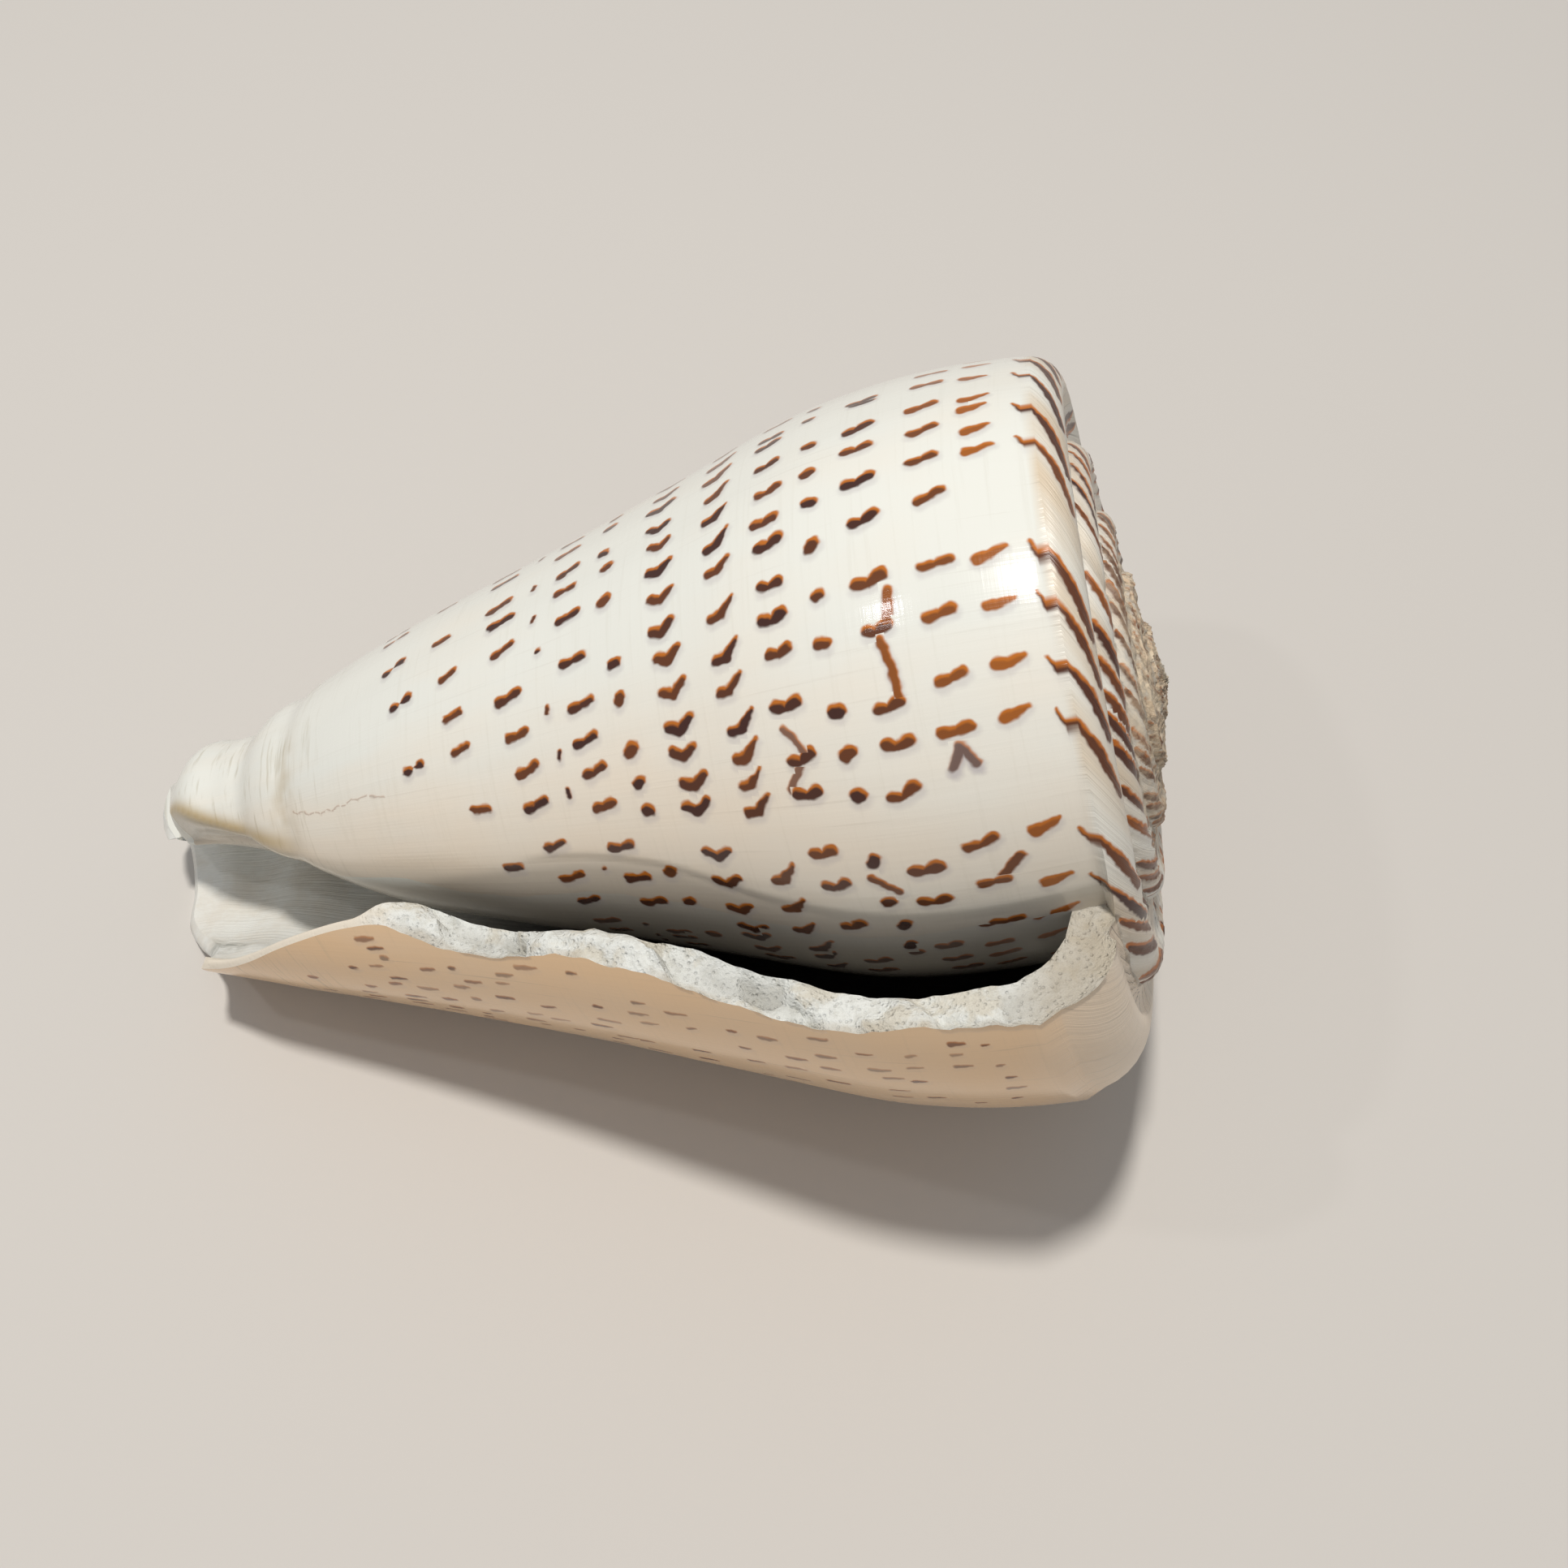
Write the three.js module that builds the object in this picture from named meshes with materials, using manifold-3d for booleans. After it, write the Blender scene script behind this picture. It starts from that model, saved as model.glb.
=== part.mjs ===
// A large cone shell lying on its side, as it rests on a table.
//
// The shell is one spiral skin, wound right-handed about a straight axis: a long side that
// tapers to the front end, a rounded shoulder and a low stepped spire. A long narrow mouth
// runs the whole length under the outer lip and winds on inside as a spiral hollow.
//
// Shell frame: x runs along the axis from the front end (0) to the apex, and "back" is the
// angle around the axis, counted backwards along the growth from the outer lip. One full
// turn back from the lip is the whorl that the mouth opens onto.

import * as THREE from "three";
import { ParametricGeometry } from "three/addons/geometries/ParametricGeometry.js";
import { mergeGeometries, mergeVertices } from "three/addons/utils/BufferGeometryUtils.js";
import Module from "manifold-3d";

const { clamp, degToRad, lerp, smoothstep } = THREE.MathUtils;

// ---- driving dimensions (millimetres and degrees) ----

const apexX = 106.5;            // front end to apex, along the axis
const shoulderX = 100.5;        // shoulder height behind the lip
const lipShoulderDrop = 1.2;    // how much lower the shoulder starts at the lip
const shoulderRound = 4.2;      // rounding of the shoulder
const lipShoulderRound = 7.0;   // rounding of the shoulder at the lip
const spireTurns = 6;           // turns from the lip to the apex
const spireRatio = 0.85;        // narrowing of the spire, per turn
const sutureDip = 1.5;          // depth of the channel along each seam of the spire
const wallThickness = 3.8;      // wall of the last turn
const innerWall = 1.6;          // wall between the inner turns
const rampThickness = 4.0;      // wall under the spire
const columellaRadius = 1.8;    // the pillar at the front end
const knobHeight = 2.4;         // swollen band around the front end
const knobX = 3.6;              // middle of that band
const grooveDepth = 0.7;        // groove behind the band
const grooveX = 10.2;
const hollowStart = -40;        // degrees, in the open air in front of the lip
const hollowEnd = 560;          // degrees, where the inner hollow closes

// Laws along the axis: pairs of x and value.
const lipRadiusLaw = [[0, 15.4], [12, 18.6], [28, 22.8], [45, 27.9], [62, 33.6], [78, 38.6],
  [90, 39.9], [100, 39.3], [107, 38.2]];
const growthLaw = [[0, 15.0], [25, 8.6], [60, 9.2], [107, 10.4]];        // radius lost per turn
const lipEdgeLaw = [[0, 18], [5, 12], [20, -12], [30, -19.5], [40, -8], [55, -7], [70, 0],
  [107, 0]];                                                            // edge angle, degrees
const frontEdgeLaw = [[0, 2.8], [45, 0.8], [110, -1.6], [180, -0.8], [260, 0], [360, 0.9]];  // x by back
const recessLaw = [[0, 4], [30, 3.4], [60, 2.2], [107, 4.0]];           // dip inside the mouth

// How the shell lies: on the side of its last turn, with the mouth up and to the front.
const axisRise = 17.0;          // degrees above the table, apex end up
const restAngle = 106;          // degrees back from the lip that point down
const restDepth = 0.45;         // depth of the worn flat it rests on

// Mesh fineness.
const sideSteps = 22;
const aroundSteps = 60;
const stepsPerTurn = 5;
const hollowAround = 22;
const hollowSteps = 44;

// ---- laws ----

function lawOf(pairs) {
  const places = pairs.map((pair) => pair[0]);
  const values = pairs.map((pair) => pair[1]);
  const interpolant = new THREE.CubicInterpolant(places, values, 1);
  const first = places[0];
  const last = places[places.length - 1];
  return (x) => interpolant.evaluate(clamp(x, first, last))[0];
}

const lipRadius = lawOf(lipRadiusLaw);
const growth = lawOf(growthLaw);
const lipEdge = lawOf(lipEdgeLaw);
const recess = lawOf(recessLaw);
const frontEdge = lawOf(frontEdgeLaw);

// Share of the full radius that the spire still has, a number of turns back from the lip.
function spireShare(turns) {
  const end = spireRatio ** spireTurns;
  return Math.max(0, (spireRatio ** turns - end) / (1 - end));
}

function ridgeX(turns) {
  const drop = lipShoulderDrop * (1 - smoothstep(turns, 0, 0.4));
  return lerp(shoulderX, apexX, 1 - spireShare(turns)) - drop;
}

function ridgeRound(turns) {
  const extra = (lipShoulderRound - shoulderRound) * (1 - smoothstep(turns, 0, 0.4));
  return (shoulderRound + extra) * spireShare(turns);
}

// Radius of the side of the shell; "back" is in degrees and may pass a full turn.
function sideRadius(x, back) {
  const turns = back / 360;
  let radius = lipRadius(x) - growth(x) * turns;
  const behind = smoothstep(back, 60, 170);
  const ahead = 1 - smoothstep(back, 300, 380);
  radius += knobHeight * behind * ahead * Math.exp(-(((x - knobX) / 3.4) ** 2));
  radius -= grooveDepth * behind * Math.exp(-(((x - grooveX) / 1.8) ** 2));
  radius -= recess(x) * smoothstep(back, 331, 400);
  const pillar = columellaRadius + 0.08 * Math.max(0, x);
  const over = radius - pillar;
  return pillar + 0.5 * (over + Math.sqrt(over * over + 4));
}

// ---- the outer skin ----

// A point of the skin's section: "column" counts from the front end up the side (to
// sideSteps) and then inwards over the spire, stepsPerTurn columns to a turn.
function skinSection(column, back) {
  const turns = back / 360;
  if (column <= 0) {
    return [-0.6, 0];
  }
  if (column <= sideSteps) {
    const top = ridgeX(turns) - ridgeRound(turns);
    const share = (column - 1) / (sideSteps - 1);
    const x = lerp(frontEdge(back), top, share ** 1.15);
    return [x, sideRadius(x, back) * (column === 1 ? 0.93 : 1)];
  }
  return spireSection(column - sideSteps - 1, turns);
}

// The spire: in each turn the section climbs over a rounded ridge (steps 0 to 2) and then
// runs inwards in a shallow channel (steps 3 and 4) to the foot of the next ridge.
function spireSection(column, turns) {
  const step = column % stepsPerTurn;
  const total = turns + Math.floor(column / stepsPerTurn);
  if (step <= 2) {
    return ridgePoint(total, step);
  }
  const along = (step - 2) / 3;
  const [topX, topRadius] = ridgePoint(total, 2);
  const [footX, footRadius] = ridgePoint(total + 1, 0);
  const dip = 0.5 * sutureDip * spireShare(total);
  return [lerp(topX, footX, along) - dip, lerp(topRadius, footRadius, along)];
}

function ridgePoint(total, step) {
  if (total >= spireTurns - 0.001) {
    return [apexX, 0];
  }
  const share = spireShare(total);
  const round = ridgeRound(total);
  const bend = degToRad(30 * (step + 1));
  const x = ridgeX(total) - round * (1 - Math.sin(bend));
  return [x, lipRadius(shoulderX) * share - round * (1 - Math.cos(bend))];
}

const sideColumns = sideSteps + 1;
const allColumns = sideColumns + spireTurns * stepsPerTurn;

// The edge angle of each row end follows the lip, and straightens above the shoulder.
function backAt(row, column) {
  const x = skinSection(Math.min(column, sideColumns), 0)[0];
  const edge = column >= sideColumns ? 0 : lipEdge(x);
  return lerp(edge, 360 + edge, row / aroundSteps);
}

function shellPoint(x, radius, back, target) {
  const angle = degToRad(back);
  target.set(x, radius * Math.cos(angle), radius * Math.sin(angle));
}

function skinPoint(u, v, target) {
  const column = Math.round(v * allColumns);
  const row = Math.round(u * aroundSteps);
  const back = backAt(row, column);
  const [x, radius] = skinSection(column, back);
  shellPoint(x, radius, back, target);
}

// The flat face in which the last turn ends: the lip's edge, drawn between the section at
// the lip and the section one turn back.
function endFace() {
  const outline = [];
  for (let column = 0; column <= sideColumns + stepsPerTurn; column += 1) {
    outline.push([column, 0]);
  }
  for (let column = sideColumns - 1; column > 0; column -= 1) {
    outline.push([column, aroundSteps]);
  }
  const points = outline.map(([column, row]) => {
    const [x, radius] = skinSection(column, backAt(row, column));
    return new THREE.Vector2(x, radius);
  });
  const corners = outline.map(([column, row]) => {
    const target = new THREE.Vector3();
    skinPoint(row / aroundSteps, column / allColumns, target);
    return target;
  });
  const face = new THREE.BufferGeometry().setFromPoints(corners);
  const triangles = THREE.ShapeUtils.triangulateShape(points, []);
  face.setIndex(triangles.flatMap(([a, b, c]) => [a, c, b]));
  return face;
}

function skinGeometry() {
  const skin = new ParametricGeometry(skinPoint, aroundSteps, allColumns);
  return mergeGeometries([bare(skin), bare(endFace())]);
}

// ---- the spiral hollow ----

function hollowFloor(x, back) {
  const lift = 0.5 * smoothstep(lipEdge(x) - back, 0, 8);
  return sideRadius(x, back + 360) + lift;
}

function hollowRoof(x, back) {
  const wall = wallThickness + (recess(x) + innerWall - wallThickness)
    * smoothstep(back, 300, 400);
  return lipRadius(x) - growth(x) * (back / 360) - wall;
}

// One ring of the hollow per step of u; the first and last rings are pressed flat, which
// closes the hollow at both ends.
function hollowPoint(u, v, target) {
  const step = clamp(Math.round(u * hollowSteps) - 1, 0, hollowSteps - 2);
  const back = lerp(hollowStart, hollowEnd, step / (hollowSteps - 2));
  const front = lerp(-8, 30, smoothstep(back, 150, 300)) + 45 * smoothstep(back, 300, 560);
  const rear = ridgeX(back / 360) - rampThickness;
  const turn = -v * 2 * Math.PI;
  const x = lerp(front, rear, (1 - Math.cos(turn)) / 2);
  const floor = hollowFloor(x, back);
  const roof = Math.max(floor + 0.8, hollowRoof(x, back));
  const closed = u <= 0 || u >= 1;
  const swell = closed ? 0 : Math.sign(Math.sin(turn)) * Math.abs(Math.sin(turn)) ** 0.4;
  shellPoint(x, lerp(floor, roof, 0.5 - 0.5 * swell), back, target);
}

function hollowGeometry() {
  return bare(new ParametricGeometry(hollowPoint, hollowSteps, hollowAround));
}

// ---- solids ----

const wasm = await Module();
wasm.setup();

function bare(geometry) {
  geometry.deleteAttribute("normal");
  geometry.deleteAttribute("uv");
  return geometry;
}

function solidOf(geometry) {
  const welded = mergeVertices(bare(geometry), 0.001);
  const index = welded.index.array;
  const triVerts = [];
  for (let i = 0; i < index.length; i += 3) {
    const [a, b, c] = [index[i], index[i + 1], index[i + 2]];
    if (a !== b && b !== c && c !== a) {
      triVerts.push(a, b, c);
    }
  }
  const mesh = new wasm.Mesh({
    numProp: 3,
    vertProperties: new Float32Array(welded.attributes.position.array),
    triVerts: new Uint32Array(triVerts),
  });
  return new wasm.Manifold(mesh);
}

function geometryOf(solid) {
  const mesh = solid.getMesh();
  const geometry = new THREE.BufferGeometry();
  geometry.setAttribute("position", new THREE.BufferAttribute(mesh.vertProperties, 3));
  geometry.setIndex(new THREE.BufferAttribute(mesh.triVerts, 1));
  geometry.computeVertexNormals();
  return geometry;
}

// Turns a geometry from the shell frame to the way the shell lies, with +Z up.
function laid(geometry) {
  geometry.rotateX(degToRad(270 - restAngle));
  geometry.rotateY(degToRad(-axisRise));
  return geometry;
}

const skin = solidOf(laid(skinGeometry()));
const hollow = solidOf(laid(hollowGeometry()));
const shellGeometry = geometryOf(skin.subtract(hollow));

// The origin is on the table, under the middle of the shell.
shellGeometry.computeBoundingBox();
const box = shellGeometry.boundingBox;
const middle = box.getCenter(new THREE.Vector3());
shellGeometry.translate(-middle.x, -middle.y, -box.min.z - restDepth);

// The table takes off the lowest sliver, which leaves the worn flat.
const ground = new THREE.BoxGeometry(300, 300, 40);
ground.translate(0, 0, -20);
const restedSolid = solidOf(shellGeometry).subtract(solidOf(ground));

const shellMaterial = new THREE.MeshStandardMaterial({
  color: 0xf1e8da,
  roughness: 0.32,
  metalness: 0,
});
const shell = new THREE.Mesh(geometryOf(restedSolid), shellMaterial);
shell.name = "cone_shell";

const coneShell = new THREE.Group();
coneShell.add(shell);

export default coneShell;
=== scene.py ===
import bpy
import math
import numpy as np
from mathutils import Matrix, Vector


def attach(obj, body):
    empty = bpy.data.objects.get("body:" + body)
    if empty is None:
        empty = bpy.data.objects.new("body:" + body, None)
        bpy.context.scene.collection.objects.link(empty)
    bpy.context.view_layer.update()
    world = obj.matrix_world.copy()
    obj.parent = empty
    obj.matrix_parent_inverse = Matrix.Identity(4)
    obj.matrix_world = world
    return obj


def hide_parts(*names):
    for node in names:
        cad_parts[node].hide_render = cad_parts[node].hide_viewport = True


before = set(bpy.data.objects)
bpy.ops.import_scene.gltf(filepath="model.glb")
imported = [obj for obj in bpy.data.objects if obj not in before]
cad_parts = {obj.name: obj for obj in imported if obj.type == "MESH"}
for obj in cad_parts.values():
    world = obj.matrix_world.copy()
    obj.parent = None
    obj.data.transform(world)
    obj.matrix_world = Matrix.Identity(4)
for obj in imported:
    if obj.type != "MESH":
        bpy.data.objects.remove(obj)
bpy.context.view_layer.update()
print("frame loaded")

# The shell is measured in millimetres along its axis from the narrow front end, and in degrees
# around the axis, counted back from the outer lip. One full turn back from the lip is the turn
# that the mouth opens onto.

shellForm = {
    "lipRadius": [(0, 15.4), (12, 18.6), (28, 22.8), (45, 27.9), (62, 33.6), (78, 38.6),
                  (90, 39.9), (100, 39.3), (107, 38.2)],
    "growth": [(0, 15.0), (25, 8.6), (60, 9.2), (107, 10.4)],       # radius lost per turn
    "lipEdge": [(0, 22), (6, 15), (12, 4), (16, -3), (21, -9), (27, -13.5), (31, -14.5),
                (35, -10.5), (40, -7.5), (50, -9.5), (57, -7), (63, -4), (70, -0.5),
                (85, -0.5), (94, 0.5), (97, 0), (107, 0)],          # angle of the lip's edge
    "frontEdge": [(-20, 4.6), (0, 4.2), (22, 3.5), (42, 2.0), (60, -1.7), (78, -4.3), (100, -4.6),
                  (140, -4.4), (180, -3.4), (200, -2.7), (215, -1.9), (232, -0.9), (262, 0.5),
                  (300, 0.9), (360, 0.9)],
    "recess": [(0, 4.5), (30, 3.4), (60, 2.2), (107, 4.0)],           # dip inside the mouth
    "fold": [(-2, 262), (1.6, 284), (8, 311), (14.2, 328), (22, 335), (35, 333),
             (107, 331)],        # the pillar's edge
    "oldLip": [(-5, 276), (2, 289), (8, 314), (14, 331), (21, 345), (28, 347), (40, 341),
               (50, 337.5), (59, 340), (70, 349), (78, 353),
               (100, 354)],      # edge of the glaze by the mouth
    "scallop": 8.6,              # degrees between the scales on the spire
    "sweep": 36,                 # degrees that a scale runs back across its ramp
    "apex": 106.5,
    "shoulder": 100.5,
    "shoulderRound": 4.2,
    "lipShoulderDrop": 1.2,      # the shoulder starts lower and rounder at the lip
    "lipShoulderRound": 7.0,
    "spireTurns": 6,
    "spireRatio": 0.85,
    "channelDip": 0.7,
    "wall": 3.8,
    "thinLip": 1.2,              # the whole front part of the lip
    "columella": 1.8,
    "knob": 2.4,                 # swollen band around the front end
    "hollowDepth": 200,          # degrees that the mouth can be seen into
    "foot": 97,                  # distance along a section at which every turn's foot starts
}

aroundStep = 0.6                 # stored places hold degrees times this, close to millimetres

shellLie = {
    "restAngle": 106,            # degrees back from the lip that point down
    "axisRise": 17.0,
    "frontEnd": (-52.19, 2.49, 11.22),
}

meshDetail = {
    "rows": 312,                 # steps once around the skin
    "sideColumns": 130,
    "bendColumns": 8,            # over the rounding of each turn of the spire
    "rampColumns": 8,
    "hollowSkip": 3,             # the hollow has one row for this many rows of the skin
    "edgeSteps": 9,              # across the lip's edge
}


def smooth(x, low, high):
    t = np.clip((np.asarray(x, float) - low) / (high - low), 0, 1)
    return t * t * (3 - 2 * t)


def mix(a, b, t):
    return a + (b - a) * t


def curveThrough(pairs):
    xs, ys = np.array(pairs, float).T
    slopes = np.gradient(ys, xs)

    def value(x):
        x = np.clip(np.asarray(x, float), xs[0], xs[-1])
        i = np.clip(np.searchsorted(xs, x, side="right") - 1, 0, len(xs) - 2)
        width = xs[i + 1] - xs[i]
        t = (x - xs[i]) / width
        left = ys[i] * (1 + 2 * t) * (1 - t) ** 2 + slopes[i] * width * t * (1 - t) ** 2
        right = ys[i + 1] * t * t * (3 - 2 * t) - slopes[i + 1] * width * t * t * (1 - t)
        return left + right

    return value


lipRadius, growth, lipEdge, frontEdge, recess, fold, oldLip = [
    curveThrough(shellForm[name])
    for name in ("lipRadius", "growth", "lipEdge", "frontEdge", "recess", "fold", "oldLip")]


def latticeNoise(x, y, seed=0):
    # smooth noise from -1 to 1 on a lattice of unit cells
    x, y = np.broadcast_arrays(np.asarray(x, float), np.asarray(y, float))
    cellX, cellY = np.floor(x), np.floor(y)
    fx, fy = smooth(x - cellX, 0, 1), smooth(y - cellY, 0, 1)

    def corner(a, b):
        h = np.sin(a * 127.1 + b * 311.7 + seed * 74.7) * 43758.5453
        return (h - np.floor(h)) * 2 - 1

    low = mix(corner(cellX, cellY), corner(cellX + 1, cellY), fx)
    high = mix(corner(cellX, cellY + 1), corner(cellX + 1, cellY + 1), fx)
    return mix(low, high, fy)


def roughNoise(x, y, seed=0):
    coarse = latticeNoise(x, y, seed)
    middle = latticeNoise(np.asarray(x) * 2.1, np.asarray(y) * 2.1, seed + 3)
    fine = latticeNoise(np.asarray(x) * 4.3, np.asarray(y) * 4.3, seed + 7)
    return (coarse + 0.5 * middle + 0.25 * fine) / 1.75


# Form of the shell: the side, the shoulder and the stepped spire

def spireShare(turns):
    end = shellForm["spireRatio"] ** shellForm["spireTurns"]
    share = (shellForm["spireRatio"] ** np.asarray(turns, float) - end) / (1 - end)
    return np.maximum(0, share)


def ridgeHeight(turns):
    drop = shellForm["lipShoulderDrop"] * (1 - smooth(turns, 0, 0.4))
    return mix(shellForm["shoulder"], shellForm["apex"], 1 - spireShare(turns)) - drop


def ridgeRound(turns):
    extra = shellForm["lipShoulderRound"] - shellForm["shoulderRound"]
    return (shellForm["shoulderRound"] + extra * (1 - smooth(turns, 0, 0.4))) * spireShare(turns)


def sideRadius(x, back):
    behind = smooth(back, 60, 170)
    band = behind * (1 - smooth(back, 300, 380))
    radius = lipRadius(x) - growth(x) * back / 360
    radius = radius + shellForm["knob"] * band * np.exp(-((x - 3.6) / 3.4) ** 2)
    radius = radius - 0.6 * band * np.exp(-((x - 10.8) / 1.3) ** 2)
    radius = radius + 0.3 * behind * np.exp(-((x - 14.3) / 1.9) ** 2)
    radius = radius - 0.35 * behind * np.exp(-((x - 17.6) / 1.2) ** 2)
    start = fold(x)
    radius = radius - recess(x) * smooth(back, start, start + 15 + 54 * smooth(x, 6, 32))
    radius = radius - 0.22 * smooth(back - oldLip(x), -0.4, 1.6) * smooth(x, 42, 50)
    pillar = shellForm["columella"] * (0.3 + 0.7 * smooth(x, 2, 14)) + 0.08 * np.maximum(0, x)
    over = radius - pillar
    soft = 0.6 + 3.4 * smooth(x, 2, 14)
    return pillar + 0.5 * (over + np.sqrt(over * over + soft))


def jaggedEdge(x):
    # the lip's edge angle, with the bites of the broken part
    x = np.asarray(x)
    bites = 1.3 * roughNoise(x / 5.2, 0.5, 4) + 0.7 * roughNoise(x / 1.3, 3.5, 9)
    return lipEdge(x) + bites * smooth(x, 30, 33) * (1 - smooth(x, 96, 101))


def ridgePoint(total, bend):
    # bend runs from the foot of a ridge (0) to its top (1)
    total, bend = np.broadcast_arrays(np.asarray(total, float), np.asarray(bend, float))
    size = ridgeRound(total)
    angle = np.radians(mix(16, 90, bend))
    x = ridgeHeight(total) - size * (1 - np.sin(angle))
    r = lipRadius(shellForm["shoulder"]) * spireShare(total) - size * (1 - np.cos(angle))
    done = total >= shellForm["spireTurns"] - 0.001
    return np.where(done, shellForm["apex"], x), np.where(done, 0, np.maximum(r, 0))


def scaleCount(total, place):
    # how many scales have been passed, counted back round the spire from the lip
    angle = total * 360 - shellForm["sweep"] * place
    return angle / shellForm["scallop"] + 0.55 * np.sin(angle / 23) + 0.3 * np.sin(angle / 8.3 + 1)


def spireRelief(total, place, radius):
    # scales that overlap like tiles, growth wrinkles and the worn middle of the spire
    angle = total * 360 - shellForm["sweep"] * place
    count = scaleCount(total, place)
    size = 0.6 + 0.4 * latticeNoise(np.floor(count) + 0.5, 0.5, 5)
    passed = count - np.floor(count)
    tile = (1 - passed) * smooth(passed, 0, 0.22) * size
    wrinkle = roughNoise(angle / 3.1, place * 1.5, 21)
    worn = 1 - smooth(radius, 9, 19)
    pits = roughNoise(angle * radius / 90, place * 6 + angle / 50, 33)
    young = smooth(radius, 7, 20)
    alongAxis = (0.10 * wrinkle + 0.55 * (tile - 0.35)) * young + 0.38 * pits * worn
    outward = 0.75 * (tile - 0.35) * young * smooth(place, 0.45, 0.85)
    outward = outward + 0.45 * (tile - 0.35) * young * (1 - smooth(place, 0, 0.3))
    return alongAxis, outward


def skinGrid():
    # along is the distance along a section
    d = meshDetail
    foot = shellForm["foot"]
    rows = np.linspace(0, 1, d["rows"] + 1)[:, None]
    share = np.linspace(0, 1, d["sideColumns"])[None, :]
    guess = mix(frontEdge(0), 92.3, share)
    edge = lipEdge(guess)
    bite = jaggedEdge(guess) - edge
    near = np.clip(1 - rows * 360 / 5, 0, 1) ** 2
    far = np.clip(1 - (1 - rows) * 360 / 5, 0, 1) ** 2
    sideBack = edge + 360 * rows + bite * (near + far)
    top = ridgeHeight(sideBack / 360) - ridgeRound(sideBack / 360)
    sideX = mix(frontEdge(sideBack), top, share)
    sideR = sideRadius(sideX, sideBack)
    along = sideX + (foot - top) * smooth(sideX, 78, foot)
    parts = [(sideX, sideR, sideBack, np.zeros_like(sideX) - 1, np.zeros_like(sideX), along,
              sideR)]
    bend = np.linspace(0, 1, d["bendColumns"])[None, :]
    ramp = np.linspace(0, 1, d["rampColumns"] + 2)[None, 1:-1]
    for turn in range(shellForm["spireTurns"]):
        total = rows + turn
        bx, br = ridgePoint(total, bend)
        footX, footR = ridgePoint(total + 1, 0.0)
        topX, topR = ridgePoint(total, 1.0)
        dip = shellForm["channelDip"] * spireShare(total) * np.sin(math.pi * ramp ** 0.8)
        x = np.concatenate([bx, mix(topX, footX, ramp) - dip], axis=1)
        r = np.concatenate([br, mix(topR, footR, ramp)], axis=1)
        place = np.concatenate([0.35 * bend, 0.35 + 0.65 * ramp], axis=1) + 0 * x
        steps = np.hypot(np.diff(x, axis=1), np.diff(r, axis=1))
        along = foot + np.concatenate([0 * x[:, :1], np.cumsum(steps, axis=1)], axis=1)
        fade = smooth(total, 0, 0.02)
        if turn == 0:
            # the last turn's shoulder is smoother than the older ones
            fade = fade * mix(0.12 + 0.6 * smooth(place, 0.3, 0.9), 1.0, smooth(total, 0.95, 1))
        alongAxis, outward = spireRelief(total + 0 * x, place, r)
        parts.append((x + alongAxis * fade, np.maximum(r + outward * fade, 0), 360 * rows + 0 * x,
                      np.full_like(x, turn), place, along, r))
    end = np.ones_like(rows)
    parts.append((end * shellForm["apex"], end * 0, 360 * rows,
                  end * (shellForm["spireTurns"] - 1), end, end * (foot + 1), end * 0))
    return [np.concatenate(grids, axis=1) for grids in zip(*parts)]


def hollowGrids(skinX, skinBack):
    # the floor and the roof of the mouth's hollow, from the lip's edge inwards
    d = meshDetail
    skip = d["hollowSkip"]
    rowCount = int(shellForm["hollowDepth"] / 360 * d["rows"] / skip)
    picked = np.arange(rowCount + 1) * skip
    lastColumn = int(d["sideColumns"] * 0.965)
    columns = np.arange(lastColumn + 1)
    share = columns / lastColumn
    edgeBack = skinBack[0, columns]
    back = skinBack[picked][:, columns]
    under = back + 360
    top = ridgeHeight(under / 360) - ridgeRound(under / 360)
    floorX = mix(frontEdge(360), top, columns / (d["sideColumns"] - 1))
    floorX[0] = skinX[-1, columns]
    floorR = sideRadius(floorX, skinBack[-1, columns] + (back - edgeBack))
    rear = floorX[:, -1:]
    roofX = mix(frontEdge(back) + 0.35, rear, share)
    thin = 1 - smooth(roofX, 27, 33)
    atEdge = 1 - smooth(back - edgeBack, 0, 26)
    wall = shellForm["wall"] - (shellForm["wall"] - shellForm["thinLip"]) * thin * atEdge
    wall = wall - (wall - 1.6) * (1 - smooth(roofX, 0, 9)) * 0.8
    wall = wall + 0.35 * roughNoise(roofX / 6, 2.2, 15) * smooth(roofX, 31, 36) * atEdge
    under = sideRadius(roofX, back + 360)
    gap = np.maximum(0.3, sideRadius(roofX, back) - wall - under)
    gap = gap * np.sqrt(np.maximum(0, 1 - np.clip((roofX - rear + 9) / 9, 0, 1) ** 2))
    shut = smooth(back, 130, 195) * (1 - smooth(roofX, 4, 30))
    return floorX, floorR, back, roofX, under + gap * (1 - shut), picked


def restInWorld(x, r, back):
    # from along, out and around to where the shell lies, in metres
    a = np.radians(back)
    points = np.stack(np.broadcast_arrays(x, r * np.cos(a), r * np.sin(a)), axis=-1)
    turn = Matrix.Rotation(math.radians(-shellLie["axisRise"]), 3, "Y") @ Matrix.Rotation(
        math.radians(270 - shellLie["restAngle"]), 3, "X")
    points = points @ np.array(turn).T + np.array(shellLie["frontEnd"])
    points[..., 2] = np.maximum(points[..., 2], 0)
    return points * 0.001


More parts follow.
